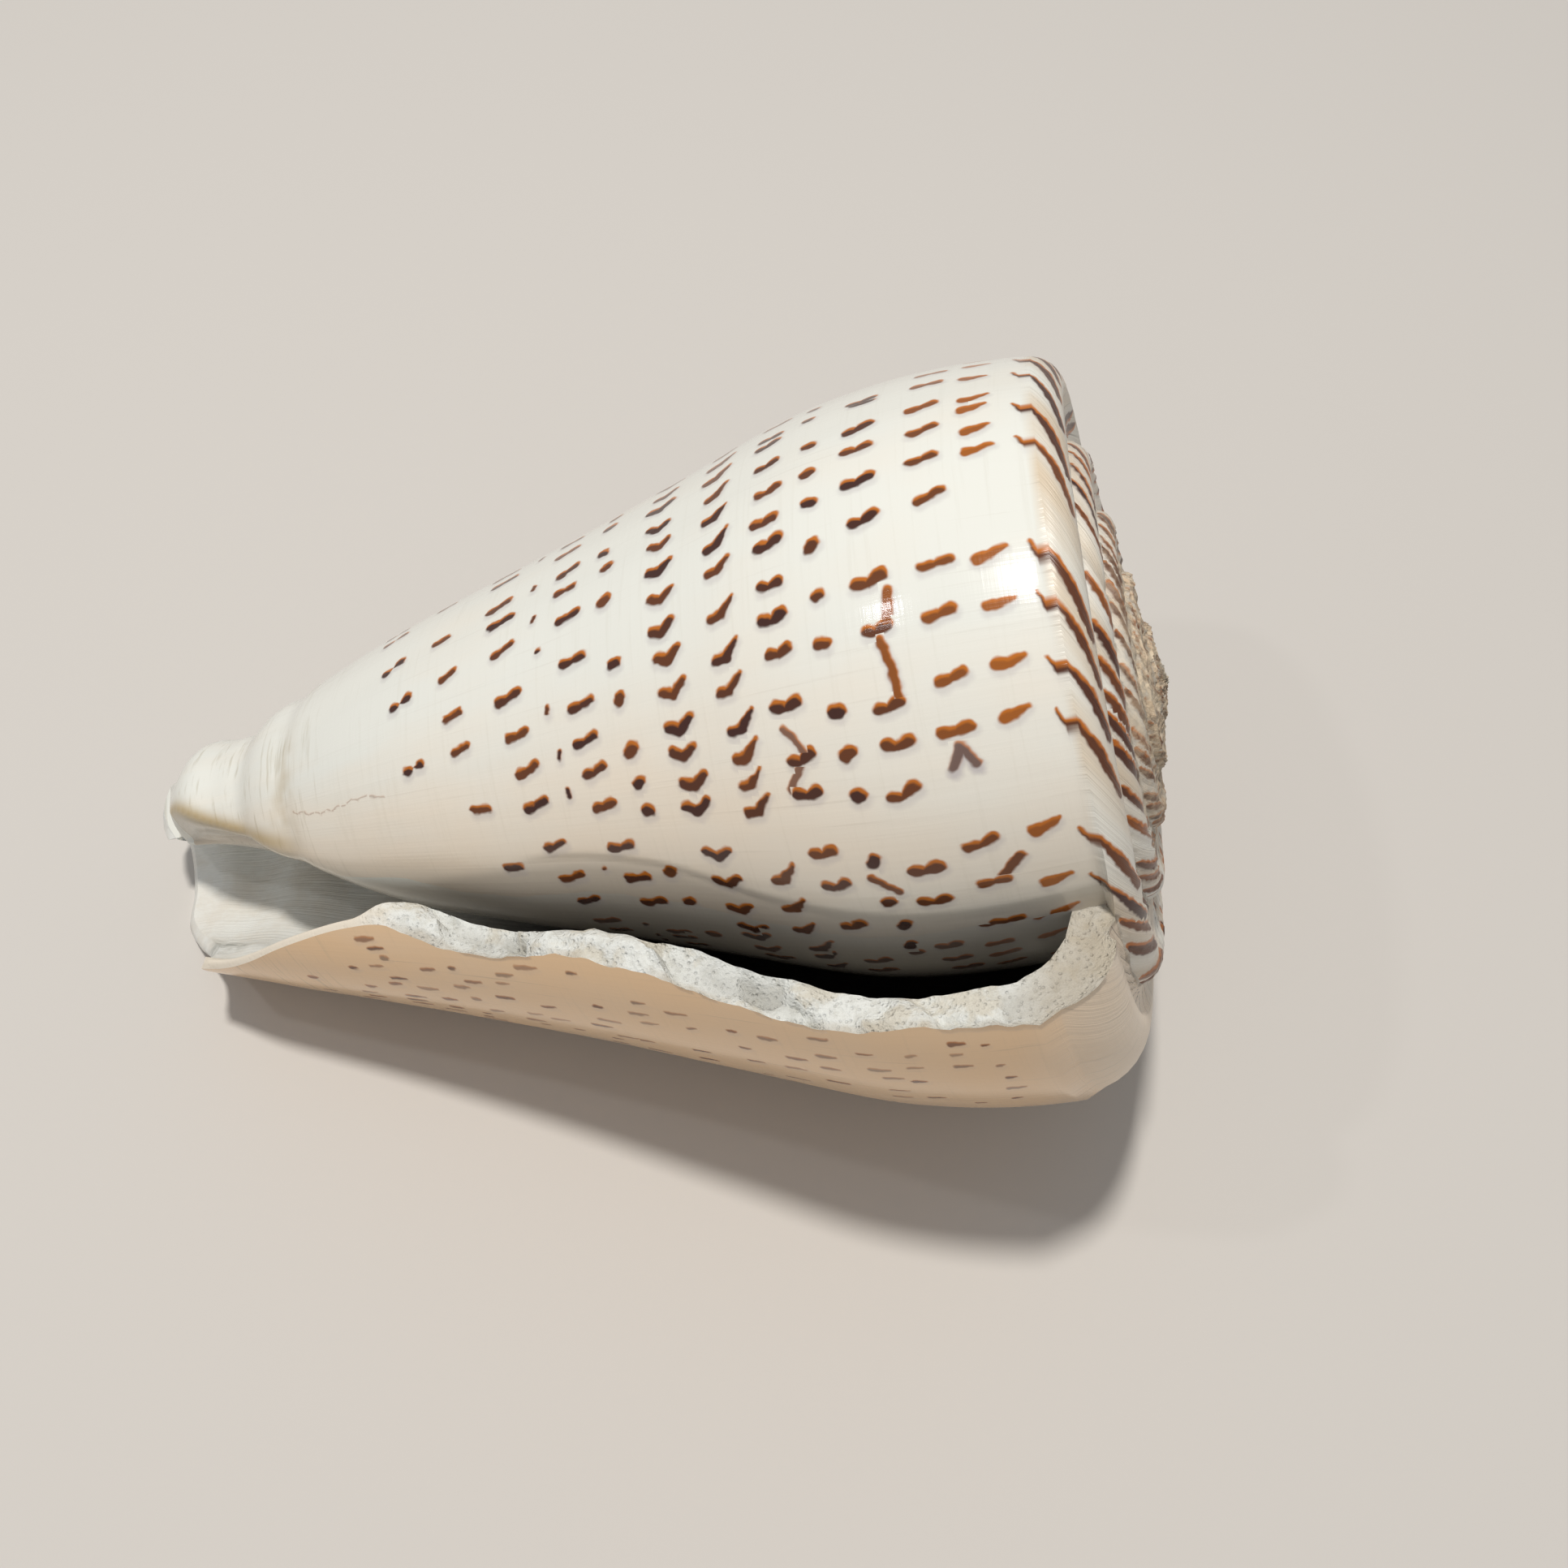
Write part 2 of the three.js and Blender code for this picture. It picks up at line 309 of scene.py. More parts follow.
def chippedFace(x, share, thick):
    # how far the lip's broken face stands back from a straight cut, in millimetres
    broken = smooth(x, 30, 34)
    arch = np.sin(math.pi * share)
    slant = x + 3.0 * share + 0.8 * latticeNoise(x / 2, share * 3, 44)
    plates = np.select([slant < 38, slant < 47, slant < 60.5, slant < 73, slant < 84],
                       [-0.6, 1.0, -0.8, 0.95, -0.25], 0.5)
    grains = 0.32 * roughNoise(x / 1.6, share * 2.2, 41) + 0.2 * roughNoise(x / 0.7, share * 4, 47)
    ledges = 0.3 * np.sign(latticeNoise(x / 3.4, share * 1.6, 53))
    return mix(-0.5 * thick * arch, (plates + grains + ledges) * arch ** 0.6, broken)


def lineOf(x, r, back):
    return np.stack([x, r, back], axis=1)


def spreadOut(line, count):
    # a line brought to more points: spread between the old ones, and each on the nearest one
    pick = np.linspace(0, len(line) - 1, count)
    between = [np.interp(pick, np.arange(len(line)), line[:, k]) for k in range(3)]
    return np.stack(between, axis=1), line[np.rint(pick).astype(int)]


def edgeFade(count):
    # nothing stands out at the two ends of a strip
    place = np.linspace(0, 1, count)
    return smooth(place, 0, 0.01) * (1 - smooth(place, 0.97, 1))


def edgeStrip(outer, inner, steps):
    # strip between two lines of points, where the inner line has fewer points
    spread, ending = spreadOut(inner, len(outer))
    lines, stands = [outer], [outer[:, 0] * 0]
    for share in np.arange(1, steps) / steps:
        line = mix(outer, spread, share)
        thick = np.abs(outer[:, 1] - spread[:, 1])
        stand = chippedFace(line[:, 0], share, thick)
        line[:, 2] += np.degrees(stand / np.maximum(line[:, 1], 3)) * edgeFade(len(outer))
        lines.append(line)
        stands.append(stand)
    lines.append(ending)
    return np.array(lines), np.array(stands + stands[:1])


# Patches of the surface: each is a grid of points with its own values at every point

patches = []


def addPatch(name, x, r, back, mapBox, flip=False, mapColumns=None, **values):
    # mapBox is the patch's place in the unwrapped map: left, low, right, high
    x, r, back = np.broadcast_arrays(x, r, back)
    rows, columns = x.shape
    u = np.linspace(0, 1, rows)
    v = np.linspace(0, 1, columns) if mapColumns is None else mapColumns
    low, high = np.array(mapBox[:2]), np.array(mapBox[2:])
    unit = np.stack(np.broadcast_arrays(u[:, None], v[None, :]), axis=-1)
    patches.append({"name": name, "points": restInWorld(x, r, back), "flip": flip,
                    "map": low + unit * (high - low), "values": values})


def patchFaces(patch, start):
    rows, columns = patch["points"].shape[:2]
    index = np.arange(rows * columns).reshape(rows, columns) + start
    quads = np.stack([index[:-1, :-1], index[1:, :-1], index[1:, 1:], index[:-1, 1:]], axis=-1)
    quads = quads.reshape(-1, 4)
    return quads[:, ::-1] if patch["flip"] else quads


def weldedFaces(quads, same):
    # faces as lists of patch points, without corners that fall together
    welded = same[quads]
    faces = []
    doubled = (welded == np.roll(welded, -1, axis=1)).any(axis=1)
    for quad, points, check in zip(quads.tolist(), welded.tolist(), doubled.tolist()):
        if not check:
            faces.append(quad)
            continue
        kept, seen = [], set()
        for corner, point in zip(quad, points):
            if point not in seen:
                seen.add(point)
                kept.append(corner)
        if len(kept) > 2:
            faces.append(kept)
    return faces


# Marks: each is a bent stroke of pigment, with its middle at a place on the skin. Along is in
# millimetres towards the spire and around in degrees back from the lip.

rowStyles = {
    "pair": {"left": (-0.95, 0.2), "right": (0.95, -0.3), "radius": 0.52, "neck": 0.9},
    "dash": {"left": (-0.7, 0.1), "right": (0.7, -0.15), "radius": 0.50, "neck": 0.1,
             "taper": 0.1},
    "wideDash": {"left": (-0.95, 0.15), "right": (0.95, -0.35), "radius": 0.56, "neck": 0.28,
                 "taper": 0.1},
    "speck": {"left": (-0.05, 0.2), "right": (0.05, -0.2), "radius": 0.28},
    "dot": {"left": (-0.15, 0.1), "right": (0.18, -0.15), "radius": 0.62},
    "chevron": {"left": (-0.95, -0.45), "right": (1.1, -0.9), "radius": 0.58, "taper": 0.3},
    "tick": {"left": (-0.8, 0.15), "right": (1.15, -1.5), "radius": 0.58, "taper": 0.6},
    "bumps": {"left": (-0.8, -0.15), "right": (0.85, -0.5), "radius": 0.63, "neck": 0.32},
    "tail": {"left": (-0.75, 0.1), "right": (1.3, -0.5), "radius": 0.58, "neck": 0.2,
             "taper": 0.6},
}

# each row: place along the axis at 280 degrees, how far it moves in a turn, style, angles
markRows = [
    {"at": 33.5, "drift": 27.7, "style": "pair", "angles": [270, 286, 308]},
    {"at": 39.4, "drift": 26.8, "style": "dash", "angles": [268, 283, 296, 306, 323, 341]},
    {"at": 45.9, "drift": 22.1, "style": "wideDash",
     "angles": [265, 272, 282, 296, 306, 315, 324, 335, 345, 354]},
    {"at": 49.9, "drift": 20.9, "style": "speck", "angles": [264, 276, 286, 302, 313, 322, 342]},
    {"at": 53.5, "drift": 19.1, "style": "wideDash",
     "angles": [264, 271, 280, 292, 303, 311, 318, 326, 336, 345, 353]},
    {"at": 57.8, "drift": 15.7, "style": "dot",
     "angles": [264, 270, 280, 296, 304, 315, 322, 328, 343, 352]},
    {"at": 63.5, "drift": 12.9, "style": "chevron",
     "angles": [258, 266, 272, 279, 286, 293, 299, 306, 313, 318, 324, 329, 339, 346, 354, 361]},
    {"at": 69.6, "drift": 10.2, "style": "tick",
     "angles": [258, 265, 272, 279, 285, 294, 302, 308, 315, 320, 325, 330, 344, 352, 359]},
    {"at": 74.8, "drift": 8.2, "style": "bumps",
     "angles": [256, 264, 272, 279, 284, 292, 298, 304, 313, 322, 328, 339, 346, 357]},
    {"at": 78.9, "drift": 8.6, "style": "dot",
     "angles": [263, 271, 278, 287, 296, 304, 315, 322, 329, 341, 350, 357, 364]},
    {"at": 83.5, "drift": 4.0, "style": "bumps",
     "angles": [253, 263, 269, 277, 285, 296, 304, 316, 322, 330, 344, 351]},
    {"at": 88.8, "drift": 0.0, "style": "wideDash",
     "angles": [261, 268, 275, 283, 295, 303, 313, 321, 340, 348, 359]},
    {"at": 93.0, "drift": 2.4, "style": "tail",
     "angles": [261, 264, 270, 275, 295, 303, 312, 320, 339, 350, 359]},
]

runTogether = [
    {"along": 84.5, "around": 309.0, "left": (-0.5, -2.0), "right": (0.35, 3.0), "radius": 0.36,
     "tint": 0.45, "halo": 1.5},
    {"along": 84.9, "around": 301.2, "left": (0.15, -1.9), "right": (-0.35, 1.2), "radius": 0.46,
     "tint": 0.5, "halo": 1.3},
    {"along": 75.6, "around": 318.5, "left": (-0.9, -1.2), "right": (0.7, 1.2), "radius": 0.36,
     "tint": 0.25, "strength": 0.9},
    {"along": 75.0, "around": 325.0, "left": (0.8, -1.3), "right": (-0.6, 0.9), "radius": 0.38,
     "tint": 0.25, "strength": 0.9},
    {"along": 88.7, "around": 323.2, "left": (-0.85, 1.9), "right": (0.9, 1.8), "radius": 0.42,
     "tint": 0.1, "strength": 0.85, "halo": 2.4},
    {"along": 80.5, "around": 346.0, "left": (-0.9, -0.8), "right": (1.0, 0.9), "radius": 0.42},
    {"along": 90.5, "around": 345.0, "left": (-0.8, 0.9), "right": (0.9, -0.9), "radius": 0.42},
]

crackLine = [(19.2, 313.0), (20.0, 314.6), (20.7, 314.2), (21.5, 315.8), (22.3, 315.4),
             (23.1, 316.6), (24.0, 315.6), (24.7, 316.0), (25.6, 314.6), (26.4, 315.0),
             (27.4, 313.2), (28.2, 313.8), (29.4, 313.3), (31.5, 314.8)]

markSpread = {
    "seed": 12,
    "hiddenFrom": 64,            # angles that the regular rows go on through, round the back
    "hiddenTo": 252,
    "step": 8.2,                 # degrees between marks there
    "bare": 0.12,                # share of marks left out
    "lipFrom": 3,                # small faint dashes on the outer lip, in degrees past its edge
    "lipTo": 60,
    "lipRows": 17,
    "lipFirst": 20,              # where the first row of them is, and the gap to the next
    "lipGap": 4.4,
    "crackRadius": 17,           # radius of the side along the crack
}

flames = {
    "seen": [264, 272, 294, 302, 311, 321, 341, 351],      # angles of the flames in front
    "step": 8.6,                 # degrees between flames on the shoulder and the spire
    "hiddenFrom": 70,            # flames round the back, at irregular steps
    "hiddenTo": 252,
    "spireFrom": 356,
    "spireTo": 5.3 * 360,
}

markPart = {                     # where a mark's values are in its row of markList
    "along": 0, "around": 1, "left": slice(2, 4), "right": slice(4, 6), "radius": 6,
    "taper": 11, "kind": slice(6, 9), "tone": slice(9, 12)}

markList = []


def addMark(along, around, left, right, radius, neck=0.0, taper=0.0, tint=0.2, strength=1.0,
            halo=1.0):
    markList.append((along, around, *left, *right, radius, neck, tint, strength, halo, taper))


def rowPlace(row, around):
    return row["at"] + row["drift"] * (around - 280) / 360


def addRowMark(row, around, rng, strength=1.0):
    style = rowStyles[row["style"]]
    size = rng.uniform(0.88, 1.12)
    lean = rng.uniform(-0.22, 0.22)
    left = (style["left"][0] * size, style["left"][1] * size + lean * 0.6)
    right = (style["right"][0] * size, style["right"][1] * size - lean)
    tint = 0.05 + 0.55 * float(smooth(row["at"], 84, 95)) + rng.uniform(-0.1, 0.15)
    addMark(rowPlace(row, around) + rng.uniform(-0.25, 0.25), around, left, right,
            style["radius"] * rng.uniform(0.9, 1.1), style.get("neck", 0.0),
            style.get("taper", 0.0), tint, strength)


def addSideMarks():
    rng = np.random.default_rng(markSpread["seed"])
    for row in markRows:
        for around in row["angles"]:
            addRowMark(row, around, rng)
    # the same rows go on round the back, at irregular steps that all rows share
    columns = []
    around = markSpread["hiddenTo"]
    while around > markSpread["hiddenFrom"]:
        columns.append(around)
        step = markSpread["step"] * rng.uniform(0.75, 1.2)
        around -= step * (2.0 if rng.random() < 0.1 else 1)
    for row in markRows:
        for around in columns:
            if rng.random() > markSpread["bare"]:
                addRowMark(row, around + rng.uniform(-1.2, 1.2), rng)
    # faint small dashes on the outer lip
    for line in range(markSpread["lipRows"]):
        start = markSpread["lipFirst"] + line * markSpread["lipGap"]
        around = float(lipEdge(start)) + markSpread["lipFrom"] + rng.uniform(0, 4)
        while around < markSpread["lipTo"]:
            if rng.random() > 0.3:
                half = rng.uniform(0.25, 1.05)
                addMark(start - 0.035 * around + rng.uniform(-1.3, 1.3), around,
                        (-half, 0.05), (half, -0.1), rng.uniform(0.22, 0.4), 0.0, 0.4,
                        rng.uniform(0.1, 0.4), rng.uniform(0.6, 1.0), 0.5)
            around += rng.uniform(2.6, 6.5)
    # under the lip the rows go on into the mouth, and a few marks ran together as they grew
    for around in (366, 372, 378):
        for row in markRows[2:]:
            if rng.random() > 0.3:
                addRowMark(row, around + rng.uniform(-1.5, 1.5), rng, 0.8)
    for smear in runTogether:
        addMark(**smear)
    # a fine crack that wanders across the side near the front
    for i in range(len(crackLine) - 1):
        (fromX, fromBack), (toX, toBack) = crackLine[i:i + 2]
        reach = math.radians(toBack - fromBack) * markSpread["crackRadius"]
        addMark(fromX, fromBack, (0.0, 0.0), (toX - fromX, reach), 0.06, 0.0, 0.2, 0.0, 0.6, 0.0)


def addFlames():
    rng = np.random.default_rng(markSpread["seed"] + 5)
    foot = shellForm["foot"]
    starts = list(flames["seen"])
    around = flames["hiddenTo"]
    while around > flames["hiddenFrom"]:
        starts.append(around)
        step = flames["step"] * rng.uniform(0.8, 1.3)
        around -= step * (2.1 if rng.random() < 0.14 else 1)
    for start in starts:
        reach = rng.uniform(0.8, 1.15)
        tint = rng.uniform(0.0, 0.25)
        addMark(foot + 1.6, start + 7.5, (1.7, 4.0), (-2.2, -4.2 * reach),
                rng.uniform(0.5, 0.7), 0.0, 0.7, tint, 1.0, 0.6)
        if rng.random() < 0.8:
            addMark(foot + 7, start + 24 + rng.uniform(-2, 2), (2.2, 3.2 * reach), (-1.7, -2.8),
                    rng.uniform(0.65, 0.95), 0.25, 0.3, tint * 0.8, 1.0, 0.8)
    # older turns of the spire: each flame runs back across its ramp and widens
    around = flames["spireFrom"]
    while around < flames["spireTo"]:
        size = float(spireShare(around / 360)) ** 0.6
        radius = rng.uniform(0.7, 1.1) * size
        tint = rng.uniform(0.0, 0.4)
        shift = rng.uniform(-1.0, 1.0)
        addMark(foot + 2.2 * size, around + 9 + shift, (2.2 * size, 3.2 * size),
                (-1.8 * size, -2.8 * size), radius * 0.9, 0.1, 0.3, tint, 1.0, 0.8)
        if rng.random() < 0.7:
            addMark(foot + 8.5 * size, around + 24 + shift, (2.2 * size, 3.4 * size),
                    (-1.6 * size, -2.4 * size), radius, 0.2, 0.2, tint, rng.uniform(0.75, 1), 0.8)
        skip = 1.9 if rng.random() < 0.12 else 1
        around += flames["step"] * rng.uniform(0.75, 1.2) * skip


def nearestMarks(along, around, radius):
    # for every face the row of the mark whose stroke is nearest, worked out in chunks of faces
    marks = np.array(markList)
    chosen = np.zeros(len(along), int)
    chunk = 4000
    for start in range(0, len(along), chunk):
        part = slice(start, start + chunk)
        scale = radius[part, None] * math.pi / 180
        u = along[part, None] - marks[:, markPart["along"]]
        w = (around[part, None] - marks[:, markPart["around"]]) * scale
        best = np.inf
        for arm, taper in (("left", 0), ("right", marks[:, markPart["taper"]])):
            ex, ey = marks[:, markPart[arm]].T
            t = np.clip((u * ex + w * ey) / np.maximum(ex * ex + ey * ey, 1e-6), 0, 1)
            radiusThere = marks[:, markPart["radius"]] * (1 - taper * t)
            best = np.minimum(best, np.hypot(u - ex * t, w - ey * t) - radiusThere)
        chosen[part] = np.argmin(best, axis=1)
    return marks[chosen]


# Putting the surface together

def vectors(*parts):
    return np.stack(parts, axis=-1)


def toneOf(x, around):
    # how warm the skin's colour is, its outer lip peach with painted warm bounce light, and how
    # far past the old lip's line it lies, into a greyer glaze with painted shade of the recess
    outerLip = 1 - smooth(around, 35, 125)
    warm = 0.95 * outerLip * (1 - 0.4 * smooth(x, 88, 100))
    warm = warm + 0.38 * smooth(around, 285, 345) * (1 - 0.5 * smooth(x, 60, 95))
    shade = smooth(around - oldLip(x), -1.0, 5.0)
    return warm, shade


def foldStain(x, around):
    # ochre stain along the fold at the front end
    line = np.exp(-((around - fold(x) + 2) / 7.0) ** 2) * (1 - smooth(x, 13, 22))
    dirt = np.clip(0.5 + 0.8 * roughNoise(around / 9, x / 0.7, 71), 0, 1)
    dirt = dirt * np.exp(-((x - 17.9) / 1.7) ** 2) * smooth(around, 255, 300)
    return np.maximum(line, 0.62 * dirt * (1 - smooth(around, 338, 352)))


def chippedCorner(x, back):
    # where the lip's front corner is knocked, rough and grey
    spot = np.exp(-((back - 40) / 15.0) ** 2) * (1 - smooth(x - frontEdge(back), 2.0, 5.5))
    return spot * np.clip(0.7 + 0.6 * roughNoise(back / 4, x / 1.2, 83), 0, 1)


def paintedMouthShade(x, inside):
    # painted shade deep in the mouth: darker the further a point lies past the lip's edge, in
    # degrees; the canal stays pale
    return smooth(inside, 13, 33) * smooth(x, 18, 42) * (1 - 0.75 * smooth(x, 86, 94))


def addSkin():
    d = meshDetail
    x, r, back, turnOf, place, along, plainR = skinGrid()
    onSpire = turnOf >= 0
    around = np.where(onSpire, back + 360 * turnOf, back)
    warm, shade = toneOf(x, around)
    # faint swellings of growth along the side
    swell = 0.05 * roughNoise(around / 7, x / 60, 61) + 0.03 * latticeNoise(x / 5, around / 90, 63)
    r = r + np.where(onSpire, 0, swell) * smooth(around, 8, 14) * (1 - smooth(around, 325, 338))
    worn = np.where(onSpire, 1 - smooth(r, 9, 20), 0)
    stepV = np.concatenate([np.linspace(0, 0.62, d["sideColumns"]),
                            np.linspace(0.63, 1, x.shape[1] - d["sideColumns"])])
    scales = scaleCount(around / 360, place)
    # depth carries painted shade deep in the mouth and the ochre stain along the fold
    addPatch("skin", x, r, back, mapBox=(0, 0, 1, 0.78), mapColumns=stepV,
             place=vectors(along, around * aroundStep, plainR),
             tone=vectors(warm, np.where(onSpire, 0, shade), worn),
             spire=vectors(np.where(onSpire, 1.0, 0.0), place, scales),
             depth=vectors(np.where(onSpire, 0, paintedMouthShade(x, around - 360)),
                           np.where(onSpire, 0, foldStain(x, around)), x * 0))
    return x, r, back


def addHollow(x, back):
    floorX, floorR, hollowBack, roofX, roofR, picked = hollowGrids(x, back)
    around = hollowBack + 360
    _, shade = toneOf(floorX, around)
    zero = np.zeros_like(floorX)
    # depth carries painted shade deep in the mouth, and the fold's stain or the chipped corner
    addPatch("floor", floorX, floorR, around, mapBox=(0, 0.88, 0.49, 1),
             place=vectors(floorX, around * aroundStep, floorR),
             tone=vectors(zero, shade, zero),
             depth=vectors(paintedMouthShade(floorX, hollowBack), foldStain(floorX, around), zero))
    addPatch("roof", roofX, roofR, hollowBack, flip=True, mapBox=(0.5, 0.88, 0.99, 1),
             place=vectors(roofX, hollowBack * aroundStep, roofR),
             depth=vectors(paintedMouthShade(roofX, hollowBack - hollowBack[0]),
                           chippedCorner(roofX, hollowBack), zero))
    endX = np.stack([roofX[-1], floorX[-1]])
    endR = np.stack([roofR[-1], floorR[-1]])
    # the hollow's far end is painted all in shade
    addPatch("deepEnd", endX, endR, np.stack([hollowBack[-1]] * 2), flip=True,
             mapBox=(0.9, 0.83, 1, 0.87), depth=np.zeros(endX.shape + (3,)) + (1, 0, 0))
    return floorX, floorR, hollowBack, roofX, roofR, picked


def addStrip(name, strip, mapBox, flip=False, **values):
    x, r, back = np.moveaxis(strip, -1, 0)
    addPatch(name, x, r, back, mapBox, flip, place=vectors(x, back * aroundStep, r), **values)


def addLipEdge(x, r, back, hollow):
    d = meshDetail
    _, _, hollowBack, roofX, roofR, _ = hollow
    side = d["sideColumns"]
    last = roofX.shape[1] - 1
    outerEnd = side + d["bendColumns"] + d["rampColumns"] + 1
    outer = lineOf(x[0, :outerEnd], r[0, :outerEnd],
                   np.where(np.arange(outerEnd) < side, back[0, :outerEnd], 0))
    under = slice(last + 1, side)
    underneath = lineOf(x[-1, under], r[-1, under], back[-1, under] - 360)
    inner = np.concatenate([lineOf(roofX[0], roofR[0], hollowBack[0]), underneath, outer[-1:]])
    strip, stands = edgeStrip(outer, inner, d["edgeSteps"])
    x = strip[..., 0]
    broken = smooth(x, 30, 34)
    across = np.linspace(0, 1, strip.shape[0])[:, None]
    layer = np.clip(0.55 + 0.9 * roughNoise(x / 2.3, across * 2, 91), 0, 1)
    layer = layer * (1 - smooth(across, 0.06, 0.26)) * broken
    # the middle tone value is painted shade on the recessed parts of the broken face
    addStrip("lipEdge", strip, mapBox=(0, 0.79, 1, 0.82),
             tone=vectors(1 - smooth(x, 27, 34), smooth(stands, 0.1, 1.2) * broken,
                          np.maximum(smooth(x, 88, 95), layer)))


def addFrontRim(x, r, back, hollow):
    # the rounded rim between the outside and the hollow, then the solid end of the axis
    floorX, floorR, hollowBack, roofX, roofR, picked = hollow
    count = picked[-1] + 1
    outer = lineOf(x[:count, 0], r[:count, 0], back[:count, 0])
    spread, ending = spreadOut(lineOf(roofX[:, 0], roofR[:, 0], hollowBack[:, 0]), count)
    lines = [outer]
    for share in (0.25, 0.5, 0.75):
        line = mix(outer, spread, share)
        thick = np.abs(outer[:, 1] - spread[:, 1])
        line[:, 0] -= 0.4 * np.minimum(thick, 3) * math.sin(math.pi * share) * smooth(
            np.linspace(0, 1, count), 0, 0.03)
        lines.append(line)
    rim = np.array(lines + [ending])
    chipped = chippedCorner(rim[..., 0], rim[..., 2])
    addStrip("frontRim", rim, mapBox=(0, 0.83, 0.4, 0.87), flip=True,
             depth=vectors(chipped * 0, chipped, chipped * 0))
    closing = rim[::-1, -1]            # the rim's last cross line, from inside to outside
    outside = lineOf(x[count - 1:, 0], r[count - 1:, 0], back[count - 1:, 0])
    inside = lineOf(floorX[:, 0], floorR[:, 0], hollowBack[:, 0] + 360)
    outline = np.concatenate([outside, inside[1:], closing + [[0, 0, 360]]])
    rings = []
    for share in (0, 0.2, 0.4, 0.6, 0.8, 1):
        ring = np.array(outline)
        ring[:, 1] *= 1 - share
        ring[:, 0] = mix(outline[:, 0], -0.2, share) - 0.35 * math.sin(math.pi * share)
        rings.append(ring)
    addStrip("frontEnd", np.array(rings), mapBox=(0.42, 0.83, 0.8, 0.87), flip=True)


patchFinish = {                  # 0 is the skin, 1 the inner wall, 2 the broken edge
    "skin": 0, "floor": 0, "frontEnd": 0, "roof": 1, "deepEnd": 1, "frontRim": 1, "lipEdge": 2}


def addValues(mesh, values):
    for name, value in values.items():
        mesh.attributes.new(name, "FLOAT_VECTOR", "CORNER").data.foreach_set(
            "vector", value.astype(np.float32).ravel())


def makeShell(materials):
    x, r, back = addSkin()
    hollow = addHollow(x, back)
    addLipEdge(x, r, back, hollow)
    addFrontRim(x, r, back, hollow)
    print("surface laid out")
    points = np.concatenate([p["points"].reshape(-1, 3) for p in patches])
    _, first, same = np.unique(np.round(points * 1e7).astype(np.int64), axis=0,
                               return_index=True, return_inverse=True)
    same = same.reshape(-1)
    faces, finish, start = [], [], 0
    for patch in patches:
        made = weldedFaces(patchFaces(patch, start), same)
        faces += made
        finish += [patchFinish[patch["name"]]] * len(made)
        start += patch["points"].shape[0] * patch["points"].shape[1]
    mesh = bpy.data.meshes.new("coneShell")
    mesh.from_pydata(points[first].tolist(), [], [[int(same[i]) for i in face] for face in faces])
    for material in materials:
        mesh.materials.append(material)
    mesh.polygons.foreach_set("material_index", finish)
    corners = np.concatenate([np.array(face) for face in faces])
    sizes = np.array([len(face) for face in faces])

    def stacked(key):
        parts = []
        for patch in patches:
            grid = patch["values"].get(key)
            count = patch["points"].shape[0] * patch["points"].shape[1]
            parts.append(np.zeros((count, 3)) if grid is None else grid.reshape(-1, 3))
        return np.concatenate(parts)

    uv = np.concatenate([p["map"].reshape(-1, 2) for p in patches])
    mesh.uv_layers.new(name="OFBake").data.foreach_set("uv", uv[corners].ravel())
    values = {"skinPlace": stacked("place"), "toneAndShade": stacked("tone"),
              "spirePlace": stacked("spire"), "mouthDepth": stacked("depth")}
    addValues(mesh, {name: value[corners] for name, value in values.items()})
    addMarkValues(mesh, values["skinPlace"][corners], sizes)
    mesh.polygons.foreach_set("use_smooth", [True] * len(faces))
    mesh.set_sharp_from_angle(angle=math.radians(58))
    mesh.update()
    shell = bpy.data.objects.new("coneShell", mesh)
    bpy.context.scene.collection.objects.link(shell)
    print("shell made", len(faces), "faces")
    return shell


def addMarkValues(mesh, place, sizes):
    starts = np.concatenate([[0], np.cumsum(sizes)[:-1]])
    middle = np.add.reduceat(place, starts, axis=0) / sizes[:, None]
    chosen = nearestMarks(middle[:, 0], middle[:, 1] / aroundStep, np.maximum(middle[:, 2], 1))
    perCorner = np.repeat(chosen, sizes, axis=0)
    scale = place[:, 2] * math.pi / 180
    local = np.zeros((len(place), 3))
    local[:, 0] = place[:, 0] - perCorner[:, markPart["along"]]
    local[:, 1] = (place[:, 1] / aroundStep - perCorner[:, markPart["around"]]) * scale
    left, right = np.zeros_like(local), np.zeros_like(local)
    left[:, :2], right[:, :2] = perCorner[:, markPart["left"]], perCorner[:, markPart["right"]]
    addValues(mesh, {"markPlace": local, "markLeft": left, "markRight": right,
                     "markKind": perCorner[:, markPart["kind"]],
                     "markTone": perCorner[:, markPart["tone"]]})


# Materials

